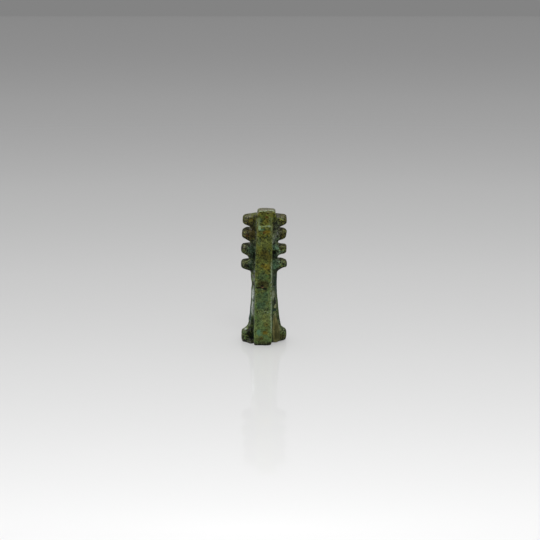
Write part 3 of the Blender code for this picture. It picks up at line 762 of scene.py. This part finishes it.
touches = {
    # small marks with crisp borders, laid over the washes; several are painted highlights and painted
    # shadows, as noted at each
    "ochre": [
        ((1.2, -5.3, 38.3), (0.8, 1.0, 0.35), 0.7),
        ((0.4, -5.3, 4.2), (0.9, 1.0, 0.55), 0.7),
    ],
    "yellow": [
        ((-4.3, -4.0, 41.4), (0.7, 1.5, 0.35), 0.6),
        ((-5.8, -4.0, 40.8), (0.3, 1.5, 0.3), 0.5),
        ((5.4, -4.0, 42.1), (0.4, 1.5, 0.25), 0.6),
        ((2.6, -5.2, 43.5), (0.6, 1.2, 0.6), 0.7),
        ((0.9, -5.3, 24.5), (0.6, 1.0, 0.5), 0.5),
        ((2.2, -5.3, 9.0), (0.3, 1.0, 1.6), 0.35),
        ((1.6, -5.3, 29.6), (0.5, 1.0, 1.1), 0.45),
        ((1.7, -5.3, 27.3), (0.5, 1.0, 1.0), 0.4),
    ],
    "brown": [
        ((0.2, -5.4, 44.35), (3.4, 0.9, 0.25), 0.65),
    ],
    "leafGreen": [
        ((-2.6, -5.3, 13.3), (0.35, 1.0, 0.9), 0.55),
        ((-2.6, -5.3, 9.3), (0.35, 1.0, 0.7), 0.6),
        ((1.0, -5.3, 23.2), (0.5, 1.0, 0.4), 0.5),
        ((-7.0, -2.4, 3.4), (0.7, 1.5, 0.9), 0.45),
    ],
    # pale glaze, with painted highlights on the ledge line, the first bar's right top and the base's left end
    "paleGreen": [
        ((0.9, -5.3, 39.95), (1.9, 1.0, 0.28), 1.0),
        ((-1.6, -5.3, 41.2), (0.25, 1.0, 1.8), 0.5),
        ((2.5, -5.2, 38.9), (0.4, 1.2, 0.8), 0.5),
        ((0.8, -5.3, 12.9), (0.5, 1.0, 0.4), 0.5),
        ((6.1, -4.0, 41.9), (0.5, 1.5, 0.3), 0.6),
        ((1.5, -5.3, 16.2), (0.3, 1.0, 1.5), 0.55),
        ((0.2, -5.3, 11.6), (0.5, 1.0, 0.45), 0.5),
        ((1.2, -5.3, 11.7), (0.4, 1.0, 0.4), 0.5),
        ((-6.3, -2.0, 4.7), (0.8, 2.0, 0.5), 0.6),
        ((3.5, -1.5, 10.2), (0.35, 1.5, 0.9), 0.6),
    ],
    # worn edges, and painted highlights on the ledge, the back pillar's right rim and the small pits low down
    "wornRimAndHighlight": [
        ((1.7, -5.3, 40.0), (0.45, 1.0, 0.24), 0.8),
        ((-1.6, -5.3, 41.0), (0.16, 1.0, 1.4), 0.4),
        ((2.75, -5.2, 20.2), (0.35, 0.5, 0.9), 0.6),
        ((2.75, -5.2, 14.2), (0.35, 0.5, 1.2), 0.6),
        ((2.65, -5.2, 9.2), (0.35, 0.5, 0.9), 0.5),
        ((0.3, -5.3, 11.5), (0.28, 1.0, 0.16), 0.6),
        ((1.3, -5.3, 11.1), (0.28, 1.0, 0.16), 0.6),
    ],
    "apricot": [
        ((-0.75, -5.3, 19.6), (0.7, 1.0, 0.24), 0.75),
    ],
    "turquoise": [
        ((-0.7, -5.3, 38.8), (0.9, 1.0, 0.3), 0.5),
        ((-1.8, -5.3, 4.4), (0.7, 1.0, 0.95), 0.6),
        ((-1.4, -5.3, 3.6), (0.7, 1.0, 0.55), 0.5),
    ],
    # a painted glint at the left end of the ledge, and painted light in the recess right of the back pillar
    "paintedMintGlint": [
        ((-1.3, -5.3, 39.35), (0.45, 1.0, 0.85), 1.0),
        ((3.9, -2.6, 33.0), (0.3, 2.0, 0.6), 0.5),
        ((3.9, -2.4, 26.6), (0.25, 2.0, 0.8), 0.3),
    ],
    "rust": [
        ((1.0, -5.3, 43.0), (0.6, 1.0, 0.45), 0.75),
        ((0.1, -5.3, 37.8), (0.45, 1.0, 0.3), 0.8),
        ((-5.6, -2.8, 36.4), (0.5, 1.5, 0.5), 0.3),
        ((3.5, -1.8, 3.6), (0.25, 1.5, 1.0), 0.45),
    ],
    # painted highlights standing in for glare: left of the shaft, on the first bar's left top, between the
    # bars on the right, faintly on the shaft's right and on the base's left end
    "paintedSheen": [
        ((-3.3, -1.8, 24.1), (0.4, 2.0, 0.6), 0.5),
        ((-3.85, -1.6, 16.4), (0.55, 2.0, 2.2), 0.95),
        ((-3.85, -1.6, 11.6), (0.42, 2.0, 2.8), 0.85),
        ((-5.6, -4.0, 43.0), (0.7, 1.0, 0.3), 0.45),
        ((4.4, -2.8, 37.2), (0.3, 2.0, 0.55), 0.45),
        ((3.9, -2.8, 36.1), (0.3, 2.0, 0.6), 0.5),
        ((3.4, -2.8, 35.1), (0.3, 2.0, 0.6), 0.55),
        ((3.1, -2.8, 34.2), (0.3, 2.0, 0.5), 0.45),
        ((3.1, -1.6, 21.2), (0.25, 2.0, 1.2), 0.15),
        ((-6.5, -1.8, 4.5), (0.8, 2.2, 0.55), 0.9),
    ],
    # painted highlights: the light strip on the shaft's right and light in the recess right of the back
    # pillar
    "paintedSageLight": [
        ((3.1, -1.6, 16.1), (0.45, 2.0, 1.7), 0.65),
        ((3.9, -2.8, 34.0), (0.35, 2.0, 0.8), 0.45),
        ((4.7, -2.4, 30.2), (0.5, 2.0, 0.5), 0.5),
    ],
    # dark glaze on the shaft's right, with painted shadow in the pocket by the broken glaze
    "teal": [
        ((4.2, -1.2, 19.8), (0.8, 2.0, 4.4), 0.75),
        ((3.5, -1.6, 21.8), (0.5, 2.0, 1.1), 0.6),
        ((3.7, -1.4, 13.8), (0.6, 2.0, 1.6), 0.7),
        ((3.4, -1.4, 11.0), (0.8, 2.0, 0.5), 0.85),
    ],
    # stains and dark edges, with painted shadow in the corners beside the terminal, in the pocket by the
    # broken glaze and at the foot's corners
    "umberAndShade": [
        ((1.1, -5.3, 43.1), (0.3, 1.0, 0.22), 0.75),
        ((-3.1, -3.0, 42.9), (0.4, 3.0, 0.8), 0.85),
        ((4.5, -2.0, 42.9), (0.9, 3.5, 0.5), 0.75),
        ((4.5, -2.4, 28.8), (0.6, 2.0, 0.6), 0.75),
        ((-1.4, -5.3, 18.6), (0.8, 1.0, 0.4), 0.45),
        ((-1.4, -5.3, 28.7), (0.6, 1.0, 0.6), 0.4),
        ((-1.2, -5.3, 16.6), (0.6, 1.0, 0.5), 0.4),
        ((-1.5, -5.3, 21.9), (0.5, 1.0, 0.25), 0.6),
        ((1.2, -5.3, 21.0), (0.5, 1.0, 0.3), 0.55),
        ((-3.6, -1.6, 19.2), (0.5, 2.0, 0.5), 0.8),
        ((-3.5, -1.8, 22.4), (0.8, 2.0, 0.8), 0.8),
        ((-4.4, -1.8, 24.4), (0.5, 2.0, 0.8), 0.6),
        ((-4.2, -2.6, 38.3), (0.5, 2.0, 0.5), 0.6),
        ((-4.8, -2.4, 33.3), (0.6, 2.0, 0.5), 0.6),
        ((-4.6, -1.6, 6.4), (0.8, 2.0, 0.7), 0.6),
        ((3.75, -1.4, 13.8), (0.4, 2.0, 0.8), 0.85),
        ((-7.1, -2.4, 27.7), (0.6, 2.0, 0.5), 0.8),
        ((5.3, -1.0, 42.8), (0.5, 3.0, 0.4), 0.65),
        ((6.9, -1.0, 42.4), (0.4, 3.0, 0.5), 0.55),
        ((-3.9, -1.6, 20.1), (0.6, 2.0, 0.7), 0.8),
        ((3.0, -5.2, 0.6), (0.6, 1.5, 1.0), 0.8),
        ((-3.3, -5.2, 0.4), (0.5, 1.5, 0.8), 0.7),
    ],
    # dirt in the pits, with painted shadow under the low pit and in the pockets beside the back pillar
    "dirtAndShadow": [
        ((-3.3, -2.2, 29.6), (0.45, 2.0, 1.4), 0.85),
        ((3.2, -2.6, 30.7), (0.9, 2.0, 0.7), 0.92),
        ((2.9, -2.6, 29.4), (0.5, 2.0, 1.0), 0.6),
        ((4.2, -3.4, 40.6), (0.45, 2.0, 0.5), 0.8),
        ((2.9, -3.8, 40.8), (0.3, 2.0, 0.5), 0.6),
        ((-0.55, -5.3, 19.95), (0.42, 1.0, 0.32), 0.95),
        ((-1.7, -5.3, 19.5), (1.1, 1.0, 0.36), 0.92),
        ((0.3, -5.3, 19.15), (0.85, 1.0, 0.38), 0.92),
        ((0.25, -5.3, 11.9), (0.26, 1.0, 0.22), 0.85),
        ((1.1, -5.3, 11.9), (0.28, 1.0, 0.24), 0.9),
        ((0.5, -5.3, 11.2), (0.24, 1.0, 0.18), 0.85),
        ((-5.9, -2.4, 26.2), (0.8, 2.0, 0.6), 0.85),
    ],
}
patterns = {
    # name: (size of a blotch in millimetres, detail, roughness, warp, seed)
    "blotch": (3.2, 4.0, 0.6, 0.4, 2.0),
    "cloud": (1.3, 4.0, 0.65, 0.3, 5.0),
    "hue": (1.0, 4.0, 0.65, 0.4, 31.0),
    "grainy": (0.85, 5.0, 0.72, 0.2, 8.0),
    "fleck": (0.42, 3.0, 0.6, 0.0, 17.0),
    "speck": (0.70, 2.0, 0.5, 0.0, 51.0),
    "glint": (0.60, 2.0, 0.5, 0.0, 57.0),
    "kept": (1.6, 3.0, 0.6, 0.0, 41.0),
}
zones = {
    # name: (what is read, where the zone starts, where it is full, how strong it is there if not 1)
    # aside is the distance from the middle to either side
    "backFace": ("depth", -4.6, -5.1),  # the back pillar's face, which took the wear
    "seen": ("depth", 2.0, -2.0, 0.60),  # plainer where the photograph doesn't reach
    "outer": ("aside", 4.2, 5.6),  # the ends of the bars and the base
    "tips": ("aside", 6.3, 7.4, 0.45),
    "upper": ("height", 20.0, 26.0),
    "rightBars": ("across", 4.0, 5.5, 0.22),
    "leftBars": ("across", -4.0, -5.5, 0.32),
    "olive": ("height", 12.0, 34.0),
    "brownClouds": ("cloud", 0.52, 0.70, 0.60),
    "ochreBlotches": ("blotch", 0.52, 0.70, 0.45),
    "seaGreenDrift": ("hue", 0.52, 0.66, 0.55),
    "yellowDrift": ("hue", 0.48, 0.34, 0.50),
    "brownCrust": ("height", 30.0, 36.0),
    "upward": ("up", 0.45, 0.95),
    "undersides": ("up", -0.25, -0.80, 0.60),
    "top": ("height", 43.2, 44.2, 0.50),
    "foot": ("height", 1.3, 0.3, 0.90),
    "footRim": ("height", 0.55, 0.20, 0.85),
    "pooled": ("hollow", 0.05, 0.45),
    "rightChannelFrom": ("across", 2.4, 2.8),  # the recesses beside the back pillar
    "rightChannelTo": ("across", 5.8, 4.8),
    "leftChannelFrom": ("across", -2.6, -3.0),
    "leftChannelTo": ("across", -6.0, -5.0),
    "leftChannelTop": ("height", 36.0, 34.0, 0.85),
    "channelFoot": ("height", 23.0, 25.0),
    "grains": ("grainy", 0.34, 0.66),
    "flecks": ("fleck", 0.34, 0.66),
    "specks": ("speck", 0.54, 0.63),
    "glints": ("glint", 0.58, 0.68),
    "shaftTop": ("height", 24.0, 22.0),
    "shaftFoot": ("height", 6.0, 8.0),
    "leftFlank": ("across", -3.9, -4.6),
    "nearFlank": ("depth", 3.0, 0.5),
    "lowFlank": ("height", 13.5, 12.0, 0.36),
    "rightFlank": ("across", 4.0, 4.5),
    "smoothSide": ("across", -3.0, -3.4, 0.7),
    "rim": ("edge", 0.027, 0.072),
    "rimKept": ("kept", 0.40, 0.60, 0.45),
    "rimFrom": ("across", 0.5, 2.0),
    "rimTo": ("across", 3.6, 3.0),
    "rimTop": ("height", 31.0, 25.0),
    "rimFoot": ("height", 3.5, 6.5),
    # painted highlight along the terminal's top edge
    "capHighlight": ("height", 44.62, 44.9, 0.85),
    "leftEdge": ("across", -2.35, -2.75),  # the back pillar's left edge, which mirrors no window
    "leftEdgeNear": ("depth", -4.2, -4.8),
    "leftEdgeHigh": ("height", 32.0, 36.0, 0.35),
    "bareStreaks": ("streak", 0.38, 0.60),
    "bareRight": ("across", 3.6, 5.2, 0.20),
    "bareLow": ("height", 9.0, 7.0),
    "crispHigh": ("height", 8.0, 10.0, 0.85),
    "crispLeft": ("across", 4.4, 3.8),
    "seams": ("seam", 0.09, 0.24),
    "neckFrom": ("aside", 2.3, 2.7),  # beside the terminal's foot
    "neckTo": ("aside", 4.4, 4.0),
    "neckFoot": ("height", 41.6, 42.2),
    "neckTop": ("height", 43.9, 43.4),
    "waistSides": ("aside", 2.9, 3.2),
    "waistFoot": ("height", 18.6, 19.6),
    "waistTop": ("height", 25.2, 24.4),
    "waistRight": ("across", -1.0, 1.0, 0.45),
}
finish = {
    "offFace": 0.60,  # brightness of everything but the back pillar's face
    "crust": 0.55,  # how far the outer ends are crusted over
    "washDrift": 2.6,  # millimetres that noise moves the washes' borders
    "washBorder": (0.15, 0.75),
    "touchDrift": 0.7,
    "touchBorder": (0.25, 0.55),
    "dust": 0.12,
    "pooled": 0.45,
    "grains": 0.95,  # contrast of the coarse and the fine mottling
    "flecks": 1.10,
    "overFlecks": 0.40,  # fine mottling over the stains, off the back pillar's face
    "darkest": 0.15,
    "wildness": 0.80,  # of the mottling on the back pillar
    "outsideWildness": 1.80,  # more on the ends of the bars and the base
    "upperWildness": 0.30,
    "paleFlecks": 0.22,
    "yellowFlecks": 0.55,
    "leftFlank": 0.62,
    "rightFlank": 0.40,
    "lip": 0.70,  # painted highlight along the lost glaze, and the painted shadow line outside it
    "brink": 0.80,
    "pits": 0.70,  # dirt
    "crack": 0.75,
    "seams": 0.88,
    "roughness": 0.22,  # of the cleanest glaze
    "dullness": 0.34,  # what wear and dirt add to that
    "coat": 0.70,
    "coatRoughness": 0.24,
    "coatIor": 1.38,
    "ior": 1.20,
    "bumpStrength": 0.60,
    "bumpDepth": 0.12,
}


class Skin(Web):
    # the glaze's node tree: what its steps read on the amulet, and the colour that they lay down
    def __init__(self, tree):
        super().__init__(tree)
        self.place = self.scaled(self.add("ShaderNodeTexCoord", {}, {}, "Object"), 1 / mm)
        across, depth, height = self.split(self.place)
        self.reads = {"across": across, "aside": across.math("ABSOLUTE"), "depth": depth, "height": height}
        for name in ("chip", "crack", "lost", "pit", "edge", "seam", "hollow", "up"):
            self.reads[name] = self.add("ShaderNodeAttribute", {"attribute_name": name}, {}, "Fac")
        for name, look in patterns.items():
            self.reads[name] = self.noise(self.place, *look)
        drawnOut = self.vector("MULTIPLY", self.place, (1.5, 1.5, 0.16))
        self.reads["streak"] = self.noise(drawnOut, 1.0, 3.0, 0.6, 0.0, 3.0)
        stray = self.noise(self.place, 1.2, 4.0, 0.65, 0.0, 11.0, "Color")
        self.stray = self.vector("SUBTRACT", stray, (0.5, 0.5, 0.5))
        self.exposed = self.zone("backFace")
        self.outer = self.zone("outer", self.uneven("cloud", 2.0))
        self.upper = self.zone("upper")
        left = self.overlap("leftChannelFrom", "leftChannelTo", "leftChannelTop")
        self.channel = (self.overlap("rightChannelFrom", "rightChannelTo") + left) * self.zone("channelFoot")

    def uneven(self, name, amount):
        # a pattern as an unevenness either side of zero
        return (self.reads[name] - 0.5) * amount

    def zone(self, name, shift=None):
        measure, *border = zones[name]
        value = self.reads[measure] if shift is None else self.reads[measure] + shift
        return self.ease(value, *border)

    def overlap(self, first, *others):
        area = self.zone(first)
        for name in others:
            area = area * self.zone(name)
        return area

    def line(self, name, level, reach):
        # 1 where a mark stands at this level
        away = (self.reads[name] - level) / reach
        return (away * away).fading()

    def lay(self, cover, name):
        self.colour = self.mix(cover, self.colour, glaze[name])

    def shade(self, factor):
        self.colour = self.scaled(self.colour, factor)

    def layMarks(self, markSets, drift, border):
        # the border sets how crisp the marks' edges are
        place = self.vector("ADD", self.place, self.scaled(self.stray, drift))
        for name, spots in markSets.items():
            blots = [self.ease(self.spot(place, centre, reach), *border, top) for centre, reach, top in spots]
            self.lay(self.largest(*blots), name)


def layGround(skin):
    # broad colour: green low down, olive higher up, drifting to yellow, brown and sea green
    skin.colour = skin.mix(skin.zone("olive", skin.uneven("blotch", 22)), glaze["green"], glaze["olive"])
    skin.lay(skin.zone("brownClouds"), "brown")
    skin.lay(skin.zone("ochreBlotches"), "ochre")
    skin.lay(skin.zone("seaGreenDrift"), "seaGreen")
    skin.lay(skin.zone("yellowDrift"), "yellow")
    skin.shade(finish["offFace"] + (1 - finish["offFace"]) * skin.exposed)
    crust = skin.mix(skin.zone("brownCrust", skin.uneven("blotch", 8)), glaze["mossCrustAndShade"], glaze["crust"])
    skin.colour = skin.mix(skin.outer * finish["crust"], skin.colour, crust)


def settleDustAndShade(skin):
    # dusty upward faces, painted shade on the undersides, dark pooled glaze in the hollows, and darker
    # towards the foot, partly as a painted contact shadow
    tilt = skin.uneven("cloud", 0.8)
    skin.lay(skin.zone("upward", tilt) * (finish["dust"] + skin.zone("top")), "dust")
    skin.lay(skin.zone("undersides", tilt), "umberAndShade")
    pooled = skin.zone("pooled", skin.uneven("cloud", 0.25))
    skin.lay(pooled * (finish["pooled"] - 0.40 * skin.channel), "teal")
    skin.lay(skin.zone("foot", skin.uneven("cloud", 2.4)), "umberAndShade")


def scatterFlecks(skin):
    # light and dark, wilder on the bars than on the back pillar
    outside = skin.outer * (0.40 + skin.zone("seen"))
    wild = finish["wildness"] + finish["outsideWildness"] * outside + finish["upperWildness"] * skin.upper
    grains = (skin.zone("grains") - 0.5) * finish["grains"]
    flecks = (skin.zone("flecks") - 0.5) * finish["flecks"]
    skin.mottle = (1 + (grains + flecks) * wild).math("MAXIMUM", finish["darkest"])
    skin.shade(skin.mottle)
    skin.lay(skin.zone("specks") * (0.25 + 0.60 * outside), "umberAndShade")
    glints = skin.zone("glints")
    skin.lay(glints * finish["paleFlecks"], "paleGreen")
    skin.lay(glints * outside * finish["yellowFlecks"], "yellow")
    # painted shade on the far ends of the bars and the base
    skin.lay(skin.zone("tips"), "umberAndShade")
    # painted light and shade: the upper bars lightened on the right and darkened on the left
    skin.shade(1 + skin.upper * (skin.zone("rightBars") - skin.zone("leftBars")))


def addTouches(skin):
    skin.layMarks(touches, finish["touchDrift"], finish["touchBorder"])
    offFace = finish["overFlecks"] - finish["overFlecks"] * skin.exposed
    skin.shade(1 + (skin.zone("flecks") - 0.56) * offFace)


def darkenFlanks(skin):
    # painted shade on the shaft's sides, as they turn away
    shaft = skin.overlap("shaftTop", "shaftFoot")
    left = skin.zone("leftFlank", skin.uneven("cloud", 1.0)) * shaft
    left = left * skin.zone("nearFlank", skin.uneven("blotch", 6))
    teal = skin.scaled(glaze["teal"][:3], skin.mottle)
    skin.colour = skin.mix(left * (finish["leftFlank"] + skin.zone("lowFlank")), skin.colour, teal)
    right = skin.zone("rightFlank", skin.uneven("cloud", 0.4)) * shaft
    skin.lay(right * finish["rightFlank"], "mossCrustAndShade")
    skin.flanks = left + right


def wearEdges(skin):
    # pale worn edges, broken here and there, with painted highlight: the back pillar's right rim and the
    # terminal's top edge are lit up in the colour
    rim = skin.zone("rim", skin.uneven("fleck", 0.08)) * (0.55 + skin.zone("rimKept"))
    bright = skin.overlap("rimFrom", "rimTo", "rimTop", "rimFoot")
    bright = bright + 0.12 * skin.outer + skin.zone("capHighlight")
    skin.lay(rim * bright, "wornRimAndHighlight")
    # painted shade: the back pillar's left edge is darkened in its colour, most of all high up
    skin.leftEdge = skin.zone("leftEdge", skin.upper * -0.45) * skin.zone("leftEdgeNear")
    skin.shade(1 - skin.leftEdge * (0.22 + 0.08 * skin.upper + skin.zone("leftEdgeHigh")))


def bareBody(skin):
    # where the glaze has come away, with a painted highlight on the lip and a painted shadow along the brink
    # of its broken edge
    shift = skin.uneven("fleck", 0.3) - skin.overlap("bareRight", "bareLow")
    body = skin.mix(skin.zone("bareStreaks", shift), glaze["bareShade"], glaze["bareBody"])
    skin.gone = skin.largest(skin.reads["lost"], skin.reads["chip"] * 0.45)
    skin.colour = skin.mix(skin.gone, skin.colour, body)
    crisp = 0.15 + skin.overlap("crispHigh", "crispLeft")
    skin.lay(skin.line("lost", 0.80, 0.1732) * crisp * finish["lip"], "paintedSageLight")
    skin.lay(skin.line("lost", 0.30, 0.2021) * crisp * finish["brink"], "dirtAndShadow")


def settleDirtAndShade(skin):
    # dirt in the pits and the crack, painted shade in the seams, and a painted contact shadow along the very
    # foot
    seams = skin.zone("seams", skin.uneven("grainy", 0.12)) * (1 - 0.85 * skin.channel) * finish["seams"]
    pits = skin.reads["pit"] * finish["pits"]
    skin.grime = skin.largest(pits, skin.reads["crack"] * finish["crack"], seams)
    skin.lay(skin.grime, "dirtAndShadow")
    skin.lay(skin.zone("footRim"), "dirtAndShadow")


def glossOf(skin):
    # roughness and clear coat: dull where it is worn, dirty or crusted
    neck = skin.overlap("neckFrom", "neckTo", "neckFoot", "neckTop")
    waist = skin.overlap("waistSides", "waistFoot", "waistTop") * (0.25 + skin.zone("waistRight"))
    edge = skin.leftEdge * skin.upper
    dull = skin.largest(skin.gone, skin.grime, skin.outer * 0.9, skin.flanks * 0.9, neck, waist, edge)
    cloud = skin.reads["cloud"]
    rough = finish["roughness"] + 0.20 * cloud + 0.14 * skin.exposed + finish["dullness"] * dull
    coat = (finish["coat"] - 0.35 * cloud - 0.30 * skin.exposed) * (1 - dull) * (1 - skin.leftEdge * 0.9)
    return rough, coat


def bumpOf(skin):
    grain = skin.reads["grainy"] * 0.9 + skin.reads["fleck"] * 0.5 * (1 + skin.gone)
    grain = grain * (1 - skin.overlap("smoothSide", "shaftTop"))
    sockets = {"Strength": finish["bumpStrength"], "Distance": finish["bumpDepth"] * mm, "Height": grain}
    return skin.add("ShaderNodeBump", {}, sockets)


def makeGlaze():
    material = bpy.data.materials.new("glazedFaience")
    material.use_nodes = True
    skin = Skin(material.node_tree)
    layGround(skin)
    skin.layMarks(washes, finish["washDrift"], finish["washBorder"])
    settleDustAndShade(skin)
    scatterFlecks(skin)
    addTouches(skin)
    darkenFlanks(skin)
    wearEdges(skin)
    bareBody(skin)
    settleDirtAndShade(skin)
    rough, coat = glossOf(skin)
    sockets = {"Base Color": skin.colour, "Roughness": rough, "Coat Weight": coat, "Normal": bumpOf(skin)}
    inputs = material.node_tree.nodes["Principled BSDF"].inputs
    for name, wire in sockets.items():
        material.node_tree.links.new(wire.socket, inputs[name])
    inputs["Coat Roughness"].default_value = finish["coatRoughness"]
    inputs["Coat IOR"].default_value = finish["coatIor"]
    inputs["IOR"].default_value = finish["ior"]
    return material


makeCamera()
amulet = makeAmulet(makeGlaze())
print("amulet made:", len(amulet.data.polygons), "faces")
makeStudio(amulet)
print("studio ready")
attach(amulet, "root")
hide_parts("djed_amulet")
